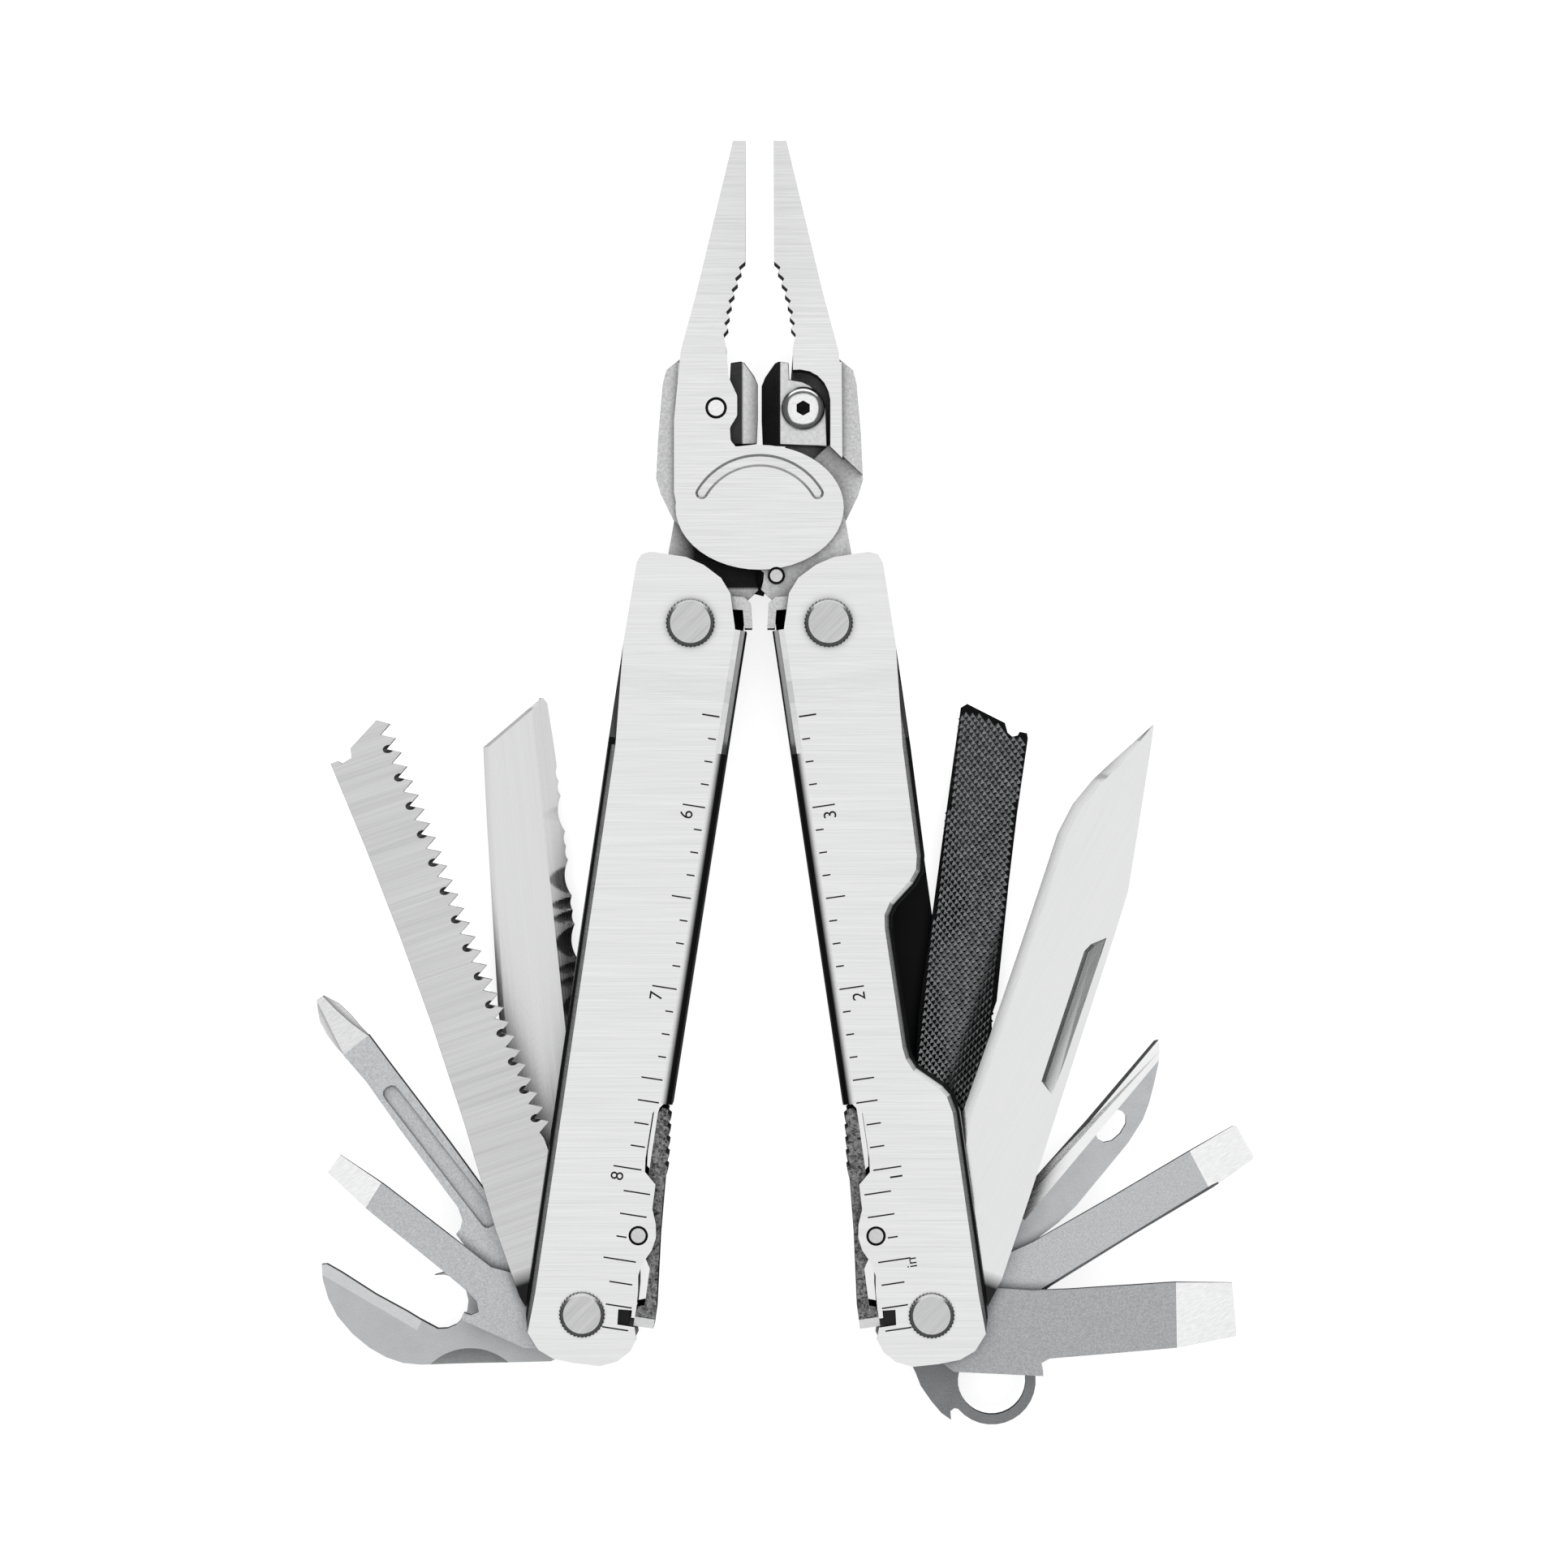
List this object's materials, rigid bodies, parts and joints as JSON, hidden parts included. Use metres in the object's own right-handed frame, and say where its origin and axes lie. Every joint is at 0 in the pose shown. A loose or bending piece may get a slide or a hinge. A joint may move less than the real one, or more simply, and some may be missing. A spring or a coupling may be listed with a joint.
{
  "type": "multi tool",
  "caption": "Folding pliers multi tool: crossing jaws with wire cutters, channel handles holding locking blades, drivers, saw, file, openers, awl and a lanyard ring.",
  "frame": {"origin": "pliers pivot axis at the front disc's face, tool lying flat and opened as fanned out", "axes": "+Y towards the jaw tips, +Z out of the front face, +X to the right seen from the front"},
  "size_m": [0.1296, 0.1777, 0.0192],
  "materials": {
    "bright": "fine brushed stainless",
    "forged": "satin forged stainless, bright ground faces",
    "bolt": "brushed face, knurled rim",
    "blade": "ground blade steel",
    "blasted": "bead blasted",
    "file": "black cross-cut file",
    "lever": "dark cast steel",
    "ring": "dark grey steel"
  },
  "bodies": {
    "jaw_left": {"jaw_left": "forged", "pliers_pivot_pin": "bolt", "cutter_left": "blade", "cutter_screw_left": "bolt", "stop_pin_front": "bolt"},
    "jaw_right": {"jaw_right": "forged", "cutter_right": "blade", "cutter_screw_right": "bolt", "stop_pin_back": "bolt"},
    "handle_right": {"handle_right": "bright", "handle_bolt_right": "bolt", "handle_bolt_cap_right": "bolt", "tool_axle_right": "bolt", "tool_axle_cap_right": "bolt", "lock_pin_right": "bolt", "lock_spring_right": "bolt"},
    "lock_lever_right": {"lock_lever_right": "lever"},
    "knife": {"knife": "blade"},
    "file": {"file": "file"},
    "large_driver": {"large_driver": "blasted"},
    "medium_driver": {"medium_driver": "blasted"},
    "awl": {"awl": "blasted"},
    "lanyard_ring": {"lanyard_ring": "ring"},
    "handle_left": {"handle_left": "bright", "handle_bolt_left": "bolt", "handle_bolt_cap_left": "bolt", "tool_axle_left": "bolt", "tool_axle_cap_left": "bolt", "lock_pin_left": "bolt", "lock_spring_left": "bolt"},
    "lock_lever_left": {"lock_lever_left": "lever"},
    "saw": {"saw": "blade"},
    "serrated_knife": {"serrated_knife": "blade"},
    "small_driver": {"small_driver": "blasted"},
    "phillips_driver": {"phillips_driver": "blasted"},
    "can_opener": {"can_opener": "blasted"}
  },
  "joints": [
    {"name": "pliers_pivot", "type": "hinge", "parent": "jaw_left", "child": "jaw_right", "pos_m": [0, 0, -0.0048], "axis": [0, 0, 1], "range_deg": [-26, 4.1]},
    {"name": "handle_right_fold", "type": "hinge", "parent": "jaw_left", "child": "handle_right", "pos_m": [0.0095, -0.016, -0.0048], "axis": [0, 0, 1], "range_deg": [0, 173]},
    {"name": "lock_lever_right_press", "type": "hinge", "parent": "handle_right", "child": "lock_lever_right", "pos_m": [0.01599, -0.10021, -0.0048], "axis": [0, 0, 1], "range_deg": [-5, 0]},
    {"name": "knife_fold", "type": "hinge", "parent": "handle_right", "child": "knife", "pos_m": [0.02363, -0.11111, -0.0048], "axis": [0, 0, 1], "range_deg": [-150.55, 27.45]},
    {"name": "file_fold", "type": "hinge", "parent": "handle_right", "child": "file", "pos_m": [0.02363, -0.11111, -0.0048], "axis": [0, 0, 1], "range_deg": [-165.55, 13.95]},
    {"name": "large_driver_fold", "type": "hinge", "parent": "handle_right", "child": "large_driver", "pos_m": [0.02363, -0.11111, -0.0048], "axis": [0, 0, 1], "range_deg": [-82.55, 100.45]},
    {"name": "medium_driver_fold", "type": "hinge", "parent": "handle_right", "child": "medium_driver", "pos_m": [0.02363, -0.11111, -0.0048], "axis": [0, 0, 1], "range_deg": [-109.55, 72.65]},
    {"name": "awl_fold", "type": "hinge", "parent": "handle_right", "child": "awl", "pos_m": [0.02363, -0.11111, -0.0048], "axis": [0, 0, 1], "range_deg": [-131.55, 54.45]},
    {"name": "lanyard_ring_fold", "type": "hinge", "parent": "handle_right", "child": "lanyard_ring", "pos_m": [0.02363, -0.11111, -0.0048], "axis": [0, 0, 1], "range_deg": [-21.55, 138.45]},
    {"name": "handle_left_fold", "type": "hinge", "parent": "jaw_right", "child": "handle_left", "pos_m": [-0.0095, -0.016, -0.0048], "axis": [0, 0, -1], "range_deg": [0, 172.6]},
    {"name": "lock_lever_left_press", "type": "hinge", "parent": "handle_left", "child": "lock_lever_left", "pos_m": [-0.01666, -0.10016, -0.0048], "axis": [0, 0, -1], "range_deg": [-5, 0]},
    {"name": "saw_fold", "type": "hinge", "parent": "handle_left", "child": "saw", "pos_m": [-0.02438, -0.11099, -0.0048], "axis": [0, 0, -1], "range_deg": [-152.1, 29.4]},
    {"name": "serrated_knife_fold", "type": "hinge", "parent": "handle_left", "child": "serrated_knife", "pos_m": [-0.02438, -0.11099, -0.0048], "axis": [0, 0, -1], "range_deg": [-165.1, 15.4]},
    {"name": "small_driver_fold", "type": "hinge", "parent": "handle_left", "child": "small_driver", "pos_m": [-0.02438, -0.11099, -0.0048], "axis": [0, 0, -1], "range_deg": [-113.1, 68.4]},
    {"name": "phillips_driver_fold", "type": "hinge", "parent": "handle_left", "child": "phillips_driver", "pos_m": [-0.02438, -0.11099, -0.0048], "axis": [0, 0, -1], "range_deg": [-133.1, 52.4]},
    {"name": "can_opener_fold", "type": "hinge", "parent": "handle_left", "child": "can_opener", "pos_m": [-0.02438, -0.11099, -0.0048], "axis": [0, 0, -1], "range_deg": [-93.1, 97.5]}
  ]
}
